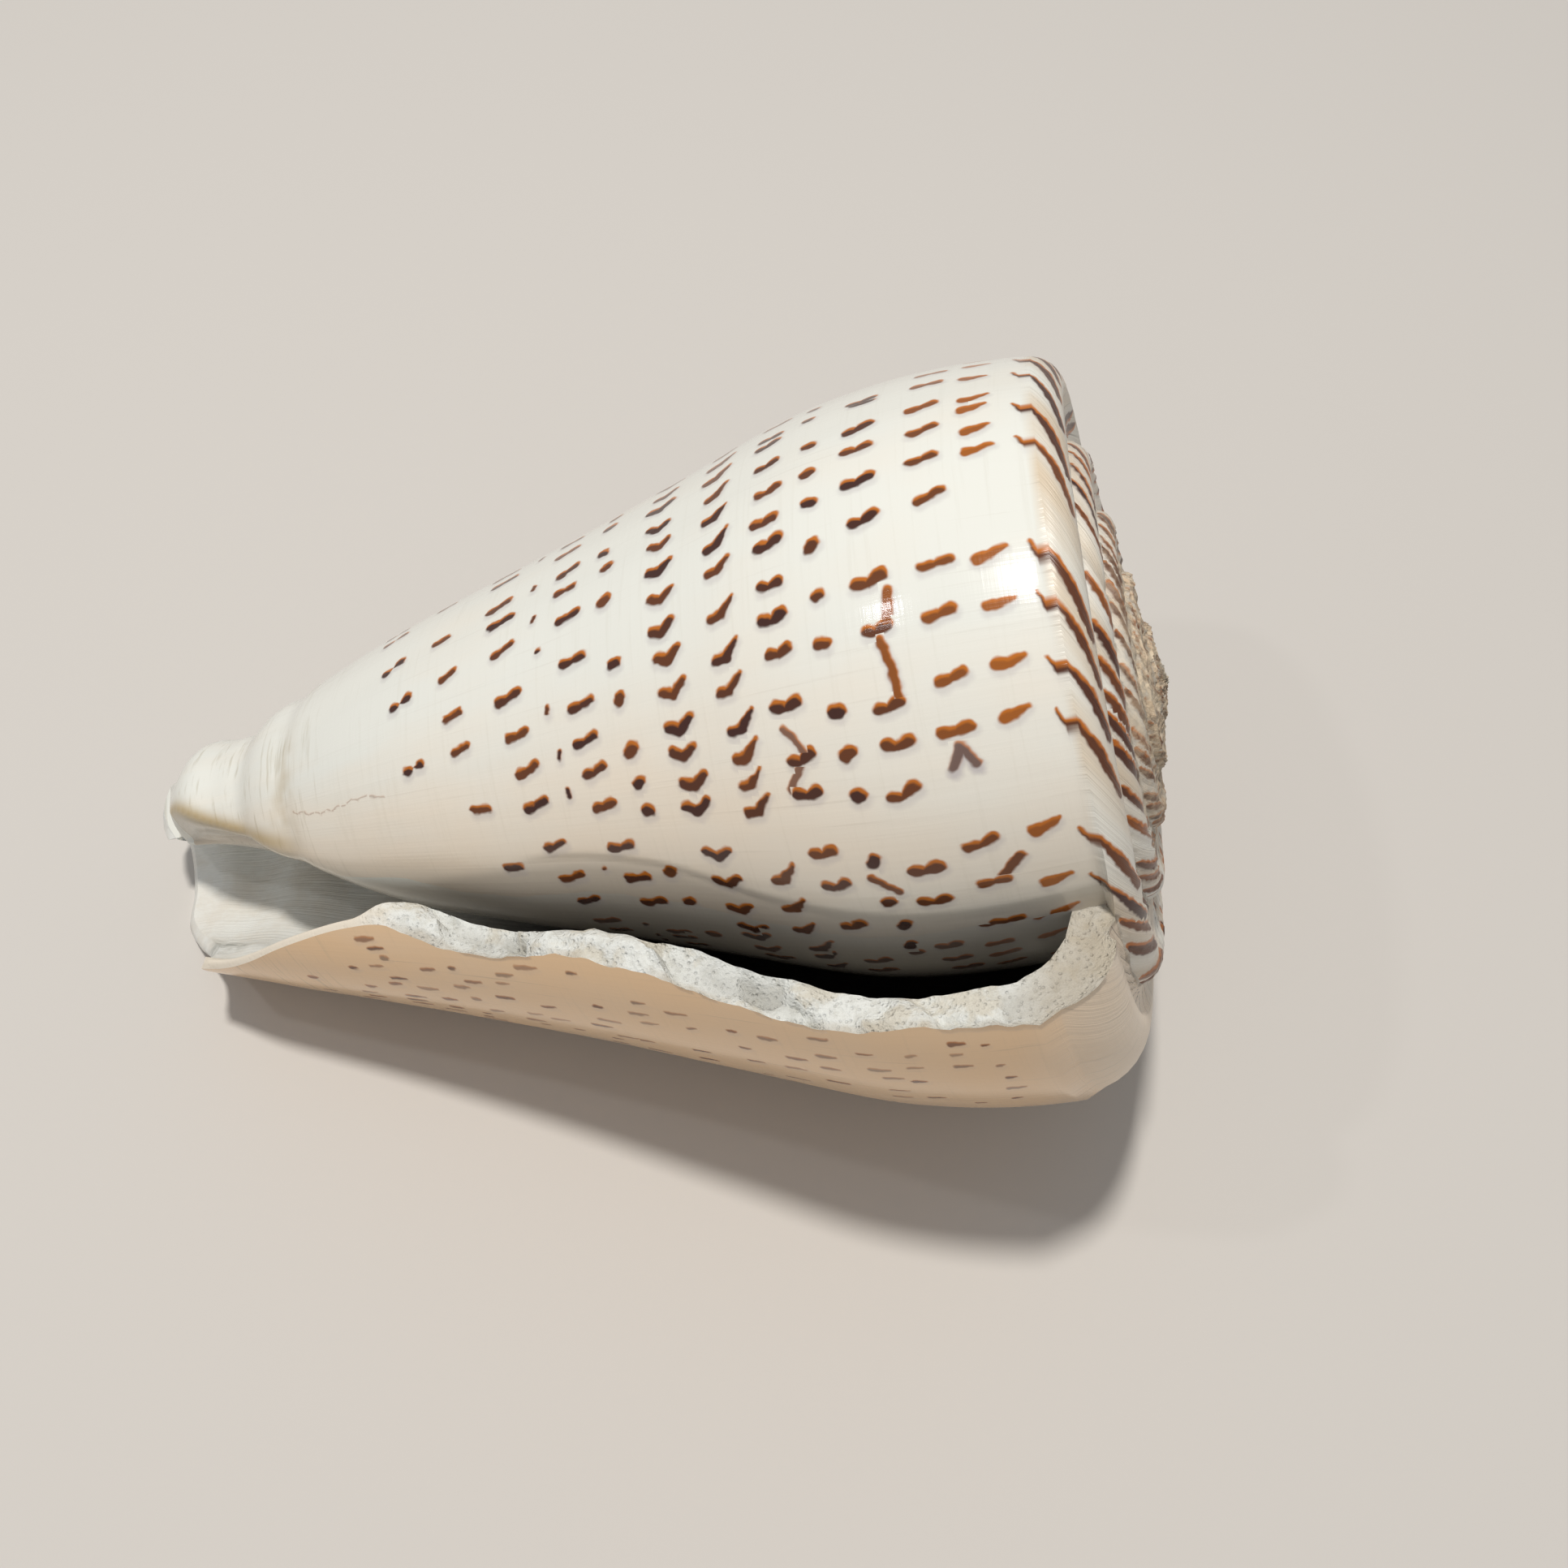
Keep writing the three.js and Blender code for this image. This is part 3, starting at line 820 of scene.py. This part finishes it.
class Nodes:
    def __init__(self, tree):
        self.tree = tree

    def add(self, kind, **settings):
        node = self.tree.nodes.new(kind)
        for key, value in settings.items():
            setattr(node, key, value)
        return node

    def feed(self, socket, value):
        if isinstance(value, bpy.types.NodeSocket):
            self.tree.links.new(value, socket)
        else:
            socket.default_value = value

    def math(self, operation, *values, clamp=False):
        node = self.add("ShaderNodeMath", operation=operation, use_clamp=clamp)
        for socket, value in zip(node.inputs, values):
            self.feed(socket, value)
        return node.outputs[0]

    def times(self, result, *others):
        for value in others:
            result = self.math("MULTIPLY", result, value)
        return result

    def plus(self, a, b, clamp=False):
        return self.math("ADD", a, b, clamp=clamp)

    def without(self, value):
        return self.math("SUBTRACT", 1.0, value, clamp=True)

    def vector(self, operation, a, b=None, scale=None):
        node = self.add("ShaderNodeVectorMath", operation=operation)
        self.feed(node.inputs[0], a)
        if b is not None:
            self.feed(node.inputs[1], b)
        if scale is not None:
            self.feed(node.inputs["Scale"], scale)
        return node.outputs["Value" if operation in ("DOT_PRODUCT", "LENGTH") else "Vector"]

    def attribute(self, name):
        return self.add("ShaderNodeAttribute", attribute_name=name).outputs["Vector"]

    def split(self, vector):
        node = self.add("ShaderNodeSeparateXYZ")
        self.feed(node.inputs[0], vector)
        return node.outputs

    def join(self, x, y):
        node = self.add("ShaderNodeCombineXYZ")
        self.feed(node.inputs[0], x)
        self.feed(node.inputs[1], y)
        return node.outputs[0]

    def noise(self, vector, scale, detail, roughness=0.5, output="Fac"):
        node = self.add("ShaderNodeTexNoise")
        for name, value in (("Vector", vector), ("Scale", scale), ("Detail", detail),
                            ("Roughness", roughness)):
            self.feed(node.inputs[name], value)
        return node.outputs[output]

    def step(self, value, low, high, start=0.0, end=1.0):
        # smooth change from start to end as value goes from low to high
        node = self.add("ShaderNodeMapRange", interpolation_type="SMOOTHSTEP")
        for socket, number in zip(node.inputs, (value, low, high, start, end)):
            self.feed(socket, number)
        return node.outputs[0]

    def mix(self, share, a, b):
        node = self.add("ShaderNodeMix", data_type="RGBA")
        self.feed(node.inputs[0], share)
        self.feed(node.inputs[6], a)
        self.feed(node.inputs[7], b)
        return node.outputs[2]

    def group(self, tree, **values):
        node = self.add("ShaderNodeGroup", node_tree=tree)
        for name, value in values.items():
            self.feed(node.inputs[name], value)
        return node.outputs

    def bump(self, shader, height, strength, depth):
        node = self.add("ShaderNodeBump")
        node.inputs["Strength"].default_value = strength
        node.inputs["Distance"].default_value = depth
        self.feed(node.inputs["Height"], height)
        self.feed(shader.inputs["Normal"], node.outputs[0])


def newGroup(name, inputs, outputs):
    tree = bpy.data.node_groups.new(name, "ShaderNodeTree")
    for way, sockets in (("INPUT", inputs), ("OUTPUT", outputs)):
        for socketName, kind in sockets:
            tree.interface.new_socket(name=socketName, in_out=way,
                                      socket_type="NodeSocket" + kind)
    nodes = Nodes(tree)
    return tree, nodes, nodes.add("NodeGroupInput").outputs, nodes.add("NodeGroupOutput").inputs


def makeStrokeGroup():
    # distance from the edge of a bent stroke of pigment, negative inside it
    tree, n, given, result = newGroup(
        "pigmentStroke", [("Place", "Vector"), ("Left", "Vector"), ("Right", "Vector"),
                          ("Radius", "Float"), ("Neck", "Float"), ("Taper", "Float")],
        [("Distance", "Float")])
    found = []
    for side in ("Left", "Right"):
        end = given[side]
        reach = n.math("MAXIMUM", n.vector("DOT_PRODUCT", end, end), 0.0001)
        share = n.math("DIVIDE", n.vector("DOT_PRODUCT", given["Place"], end), reach, clamp=True)
        gap = n.vector("LENGTH", n.vector("SUBTRACT", given["Place"],
                                          n.vector("SCALE", end, scale=share)))
        bare = n.without(share)
        width = n.times(given["Radius"], n.without(n.times(bare, bare, given["Neck"])))
        if side == "Right":
            width = n.times(width, n.without(n.times(given["Taper"], share)))
        found.append(n.math("SUBTRACT", gap, width))
    n.feed(result["Distance"], n.math("MINIMUM", *found))
    return tree


def makeGrowthGroup():
    # fine lines of growth from front to shoulder, fainter spiral threads and broad clouds
    tree, n, given, result = newGroup(
        "growthLines", [("Place", "Vector"), ("Spread", "Float")],
        [("Growth", "Float"), ("Threads", "Float"), ("Clouds", "Float")])
    x, y, _ = n.split(given["Place"])
    # how fast each noise changes along and around the shell, its detail and its roughness
    for output, alongRate, aroundRate, detail, roughness in (
            ("Growth", 0.035, given["Spread"], 4.0, 0.62),
            ("Threads", 1.9, 0.05, 3.0, 0.6), ("Clouds", 0.06, 0.09, 3.0, 0.5)):
        place = n.join(n.times(x, alongRate), n.times(y, aroundRate))
        n.feed(result[output], n.noise(place, 1.0, detail, roughness))
    return tree


def makeGrainGroup():
    # chalky grain of broken or worn shell, with pits
    tree, n, given, result = newGroup("chalkyGrain", [("Scale", "Float")],
                                      [("Grain", "Float"), ("Pits", "Float")])
    place = n.add("ShaderNodeTexCoord").outputs["Object"]
    cells = n.add("ShaderNodeTexVoronoi", feature="F1")
    n.feed(cells.inputs["Vector"], place)
    n.feed(cells.inputs["Scale"], n.times(given["Scale"], 1.7))
    n.feed(result["Grain"], n.noise(place, given["Scale"], 5.0, 0.65))
    n.feed(result["Pits"], n.step(cells.outputs["Distance"], 0.05, 0.4))
    return tree


def newMaterial(name):
    material = bpy.data.materials.new(name)
    material.use_nodes = True
    tree = material.node_tree
    return material, Nodes(tree), tree.nodes["Principled BSDF"]


skinFinish = {
    "white": (0.735, 0.735, 0.675, 1),
    # peach of the outer lip, made more orange with painted warm bounce light
    "cream": (0.88, 0.60, 0.35, 1),
    # greyer glaze past the old lip's line, with painted shade of the recess
    "glazeAndShadeGrey": (0.46, 0.40, 0.325, 1),
    "spire": (0.62, 0.50, 0.355, 1),
    "growthLine": (0.36, 0.30, 0.23, 1),
    "thread": (0.40, 0.35, 0.24, 1),
    "ochre": (0.42, 0.30, 0.13, 1),
    # painted shade deep in the mouth
    "mouth": (0.035, 0.030, 0.027, 1),
    "chalk": (0.74, 0.60, 0.42, 1),
    "chalkDark": (0.38, 0.31, 0.22, 1),
    "orange": (0.47, 0.135, 0.010, 1),
    "brown": (0.050, 0.016, 0.010, 1),
    "halo": (0.40, 0.36, 0.38, 1),
    "seam": (0.05, 0.032, 0.02, 1),
    "lineSpread": 1.5,
    "grainScale": 900.0,
    "wobbleScale": 0.9,          # how the marks' edges wander, and how far in millimetres
    "wobbleSize": 0.5,
    "coreShift": (-0.2, 0.58, 0.0),        # in radii of the mark
    "haloShift": (0.06, 0.42, 0.0),        # in millimetres
    "haloStrength": 0.32,
    "roughness": 0.15,
    "spireRoughness": 0.45,
    "wornRoughness": 0.4,
    "ior": 1.52,
    "bumpStrength": 0.6,
    "bumpDepth": 0.0006,
}


def markLayers(n, tone):
    # pigment marks with an orange rim above and a soft cloudy edge below
    c = skinFinish
    radius, neck, tint = n.split(n.attribute("markKind"))
    strength, halo, taper = n.split(n.attribute("markTone"))
    wander = n.noise(n.attribute("skinPlace"), c["wobbleScale"], 1.0, output="Color")
    shift = n.vector("SCALE", n.vector("SUBTRACT", wander, (0.5, 0.5, 0.5)),
                     scale=c["wobbleSize"])
    shiftX, shiftY, _ = n.split(shift)
    bent = n.vector("ADD", n.attribute("markPlace"), n.join(shiftX, shiftY))
    kind = {"Radius": radius, "Neck": neck, "Taper": taper,
            "Left": n.attribute("markLeft"), "Right": n.attribute("markRight")}
    coreShift = n.vector("SCALE", c["coreShift"], scale=radius)
    outline = n.group(stroke, Place=bent, **kind)["Distance"]
    core = n.group(stroke, Place=n.vector("SUBTRACT", bent, coreShift), **kind)["Distance"]
    cloudy = n.group(stroke, Place=n.vector("SUBTRACT", bent, c["haloShift"]),
                     **kind)["Distance"]
    haloMask = n.times(n.step(cloudy, 0.5, -0.2), c["haloStrength"], halo, strength)
    tone = n.mix(haloMask, tone, c["halo"])
    ink = n.mix(n.times(n.step(core, 0.16, -0.14), n.without(tint)), c["orange"], c["brown"])
    return n.mix(n.times(n.step(outline, 0.15, -0.15), strength), tone, ink)


def makeSkinMaterial():
    c = skinFinish
    material, n, shader = newMaterial("shellSkin")
    along, around, _ = n.split(n.attribute("skinPlace"))
    warm, shade, worn = n.split(n.attribute("toneAndShade"))
    onSpire, ramp, scales = n.split(n.attribute("spirePlace"))
    shadeInMouth, stain, _ = n.split(n.attribute("mouthDepth"))
    sweep = n.times(ramp, onSpire, shellForm["sweep"] * aroundStep)
    swept = n.math("SUBTRACT", around, sweep)
    growth, threads, clouds = n.group(growthLines, Place=n.join(along, swept),
                                      Spread=c["lineSpread"])
    chalk = n.group(chalkyGrain, Scale=c["grainScale"])["Grain"]
    cloudShift = n.math("SUBTRACT", clouds, 0.5)

    # base colour: white, creamier at the lip with painted warm bounce light, grey past the old lip
    # line from a greyer glaze and painted shade, beige on the spire
    tone = n.mix(n.plus(warm, n.times(cloudShift, 0.35), clamp=True), c["white"], c["cream"])
    spireTone = n.mix(n.step(clouds, 0.35, 0.7), c["spire"], c["white"])
    spireMask = n.math("SUBTRACT", n.times(onSpire, 0.9), warm, clamp=True)
    tone = n.mix(spireMask, tone, spireTone)
    # past the old lip's line: a greyer glaze with painted shade of the recess
    tone = n.mix(n.times(shade, n.step(along, 8.0, 30.0, 0.62, 0.65)), tone, c["glazeAndShadeGrey"])
    lineStrength = n.plus(n.math("MULTIPLY_ADD", warm, 0.22, 0.10), n.times(onSpire, 0.5))
    tone = n.mix(n.times(n.step(growth, 0.60, 0.72), lineStrength), tone, c["growthLine"])
    threadStrength = n.plus(0.07, n.times(n.step(along, 27.0, 17.0), 0.38))
    tone = n.mix(n.times(n.step(threads, 0.52, 0.72), threadStrength), tone, c["thread"])
    tone = n.mix(n.times(stain, 0.85), tone, c["ochre"])
    tone = markLayers(n, tone)

    # dark seam where a turn of the spire meets the one before, cracks and the worn middle
    seam = n.times(n.step(ramp, 0.94, 0.99), onSpire)
    tone = n.mix(n.times(seam, 0.85), tone, c["seam"])
    passed = n.math("FRACT", scales)
    crack = n.plus(n.step(passed, 0.09, 0.0), n.step(passed, 0.96, 1.0))
    crack = n.math("MULTIPLY", crack, onSpire, clamp=True)
    crack = n.times(crack, n.step(ramp, 0.25, 0.6), 0.7, n.without(worn))
    tone = n.mix(crack, tone, c["seam"])
    chalkTone = n.mix(n.step(chalk, 0.42, 0.62), c["chalkDark"], c["chalk"])
    tone = n.mix(n.times(worn, n.step(chalk, 0.25, 0.55), 0.85), tone, chalkTone)
    # painted shade deep in the mouth, near black
    n.feed(shader.inputs["Base Color"], n.mix(shadeInMouth, tone, c["mouth"]))

    rough = n.plus(c["roughness"], n.times(cloudShift, 0.16))
    matt = n.plus(worn, n.times(onSpire, c["spireRoughness"]))
    n.feed(shader.inputs["Roughness"],
           n.plus(rough, n.times(matt, c["wornRoughness"]), clamp=True))
    shader.inputs["IOR"].default_value = c["ior"]
    height = n.times(growth, n.plus(0.05, n.times(onSpire, 0.30)))
    height = n.plus(height, n.times(threads, 0.035))
    height = n.plus(height, n.times(chalk, n.times(worn, 0.5)))
    n.bump(shader, height, c["bumpStrength"], c["bumpDepth"])
    return material


edgeFinish = {
    "cream": (0.76, 0.68, 0.56, 1),
    "chalk": (0.74, 0.75, 0.71, 1),
    "chalkDark": (0.64, 0.64, 0.59, 1),
    "stain": (0.58, 0.52, 0.40, 1),
    # painted shade on the recessed parts of the broken face
    "recessShade": (0.36, 0.35, 0.31, 1),
    "corner": (0.42, 0.35, 0.25, 1),
    "grainScale": 1100.0,
    "stainScale": 170.0,
    "roughness": 0.8,
    "smoothRoughness": 0.4,      # on the whole front part
    "bumpStrength": 0.8,
    "bumpDepth": 0.0007,
}


def makeEdgeMaterial():
    c = edgeFinish
    material, n, shader = newMaterial("brokenEdge")
    smoothPart, recessShade, corner = n.split(n.attribute("toneAndShade"))
    chalk, pits = n.group(chalkyGrain, Scale=c["grainScale"])
    broad = n.group(chalkyGrain, Scale=c["stainScale"])["Grain"]
    tone = n.mix(n.step(chalk, 0.32, 0.55), c["chalkDark"], c["chalk"])
    tone = n.mix(n.times(n.step(broad, 0.5, 0.62), 0.6), tone, c["stain"])
    # painted shade where the broken face lies recessed
    tone = n.mix(n.times(recessShade, 0.75), tone, c["recessShade"])
    tone = n.mix(n.times(corner, 0.6), tone, c["corner"])
    n.feed(shader.inputs["Base Color"], n.mix(smoothPart, tone, c["cream"]))
    n.feed(shader.inputs["Roughness"],
           n.math("MULTIPLY_ADD", smoothPart, c["smoothRoughness"] - c["roughness"],
                  c["roughness"]))
    height = n.times(n.plus(chalk, n.times(pits, 0.3)), n.without(n.times(smoothPart, 0.85)))
    n.bump(shader, height, c["bumpStrength"], c["bumpDepth"])
    return material


innerFinish = {
    "pale": (0.77, 0.77, 0.725, 1),
    "dull": (0.70, 0.665, 0.59, 1),
    "chipped": (0.30, 0.305, 0.27, 1),
    # painted shade deep in the mouth
    "mouth": (0.035, 0.030, 0.027, 1),
    "lineSpread": 0.8,
    "grainScale": 190.0,
    "roughness": (0.28, 0.48),
    "bumpStrength": 0.4,
    "bumpDepth": 0.0004,
}


def makeInnerMaterial():
    c = innerFinish
    material, n, shader = newMaterial("innerWall")
    growth, threads, _ = n.group(growthLines, Place=n.attribute("skinPlace"),
                                 Spread=c["lineSpread"])
    shadeInMouth, chipped, _ = n.split(n.attribute("mouthDepth"))
    chalk = n.group(chalkyGrain, Scale=c["grainScale"])["Grain"]
    tone = n.mix(n.step(chalk, 0.38, 0.7), c["pale"], c["dull"])
    rubbed = n.times(n.step(chipped, 0.2, 0.8), n.step(chalk, 0.36, 0.56))
    tone = n.mix(rubbed, tone, c["chipped"])
    # painted shade deep in the mouth, near black
    n.feed(shader.inputs["Base Color"], n.mix(shadeInMouth, tone, c["mouth"]))
    n.feed(shader.inputs["Roughness"], n.step(threads, 0.2, 0.8, *c["roughness"]))
    height = n.math("MULTIPLY_ADD", chipped, n.times(chalk, 3.0), growth)
    n.bump(shader, height, c["bumpStrength"], c["bumpDepth"])
    return material


stroke = makeStrokeGroup()
growthLines = makeGrowthGroup()
chalkyGrain = makeGrainGroup()
addSideMarks()
addFlames()
print("marks placed", len(markList))
shell = makeShell([makeSkinMaterial(), makeInnerMaterial(), makeEdgeMaterial()])
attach(shell, "root")
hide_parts("cone_shell")

# Floor, light and camera

studio = {
    "floorSize": 3.0,
    "floorColour": (0.58, 0.55, 0.51, 1),
    "floorRoughness": 0.85,
    "worldColour": (0.95, 0.965, 1.0, 1),
    "worldStrength": 0.38,
}

lamps = {
    "overhead": {"place": (-0.05, 0.04, 0.8), "aim": (0.01, 0, 0.03), "size": 0.075,
                 "power": 4.8, "colour": (1.0, 0.97, 0.93)},
    "sideLamp": {"place": (-0.32, 0.0, 0.58), "aim": (0.01, 0, 0.05), "size": 0.03,
                 "power": 0.22, "colour": (0.97, 0.98, 1.0)},
}

view = {
    "lens": 42.86,
    "sensor": 36,
    "near": 0.01,
    "place": (0.00735, -0.09718, 0.19247),
    "right": (0.9996, -0.0196, 0.0213),
    "up": (0.0061, 0.8622, 0.5065),
    "behind": (-0.0283, -0.5062, 0.8619),
}


def makeFloor():
    half = studio["floorSize"] / 2
    mesh = bpy.data.meshes.new("floor")
    mesh.from_pydata([(-half, -half, 0), (half, -half, 0), (half, half, 0), (-half, half, 0)],
                     [], [(0, 1, 2, 3)])
    floor = bpy.data.objects.new("floor", mesh)
    bpy.context.scene.collection.objects.link(floor)
    material, _, shader = newMaterial("studioFloor")
    shader.inputs["Base Color"].default_value = studio["floorColour"]
    shader.inputs["Roughness"].default_value = studio["floorRoughness"]
    mesh.materials.append(material)


def addLamp(name, lamp):
    data = bpy.data.lights.new(name, "AREA")
    data.shape = "DISK"
    data.size = lamp["size"]
    data.energy = lamp["power"]
    data.color = lamp["colour"]
    light = bpy.data.objects.new(name, data)
    light.location = lamp["place"]
    aim = Vector(lamp["aim"]) - Vector(lamp["place"])
    light.rotation_euler = aim.to_track_quat("-Z", "Y").to_euler()
    bpy.context.scene.collection.objects.link(light)


def addCamera():
    data = bpy.data.cameras.new("camera")
    data.lens = view["lens"]
    data.sensor_width = view["sensor"]
    data.clip_start = view["near"]
    camera = bpy.data.objects.new("camera", data)
    axes = [Vector(view[name]) for name in ("right", "up", "behind")]
    turn = Matrix(axes).transposed().to_4x4()
    camera.matrix_world = Matrix.Translation(view["place"]) @ turn
    bpy.context.scene.collection.objects.link(camera)
    bpy.context.scene.camera = camera


def addWorld():
    world = bpy.data.worlds.new("studio")
    world.use_nodes = True
    back = world.node_tree.nodes["Background"]
    back.inputs["Color"].default_value = studio["worldColour"]
    back.inputs["Strength"].default_value = studio["worldStrength"]
    bpy.context.scene.world = world


makeFloor()
for lampName, lamp in lamps.items():
    addLamp(lampName, lamp)
addWorld()
addCamera()
bpy.context.scene.view_settings.view_transform = "Standard"
print("floor, light and camera set")
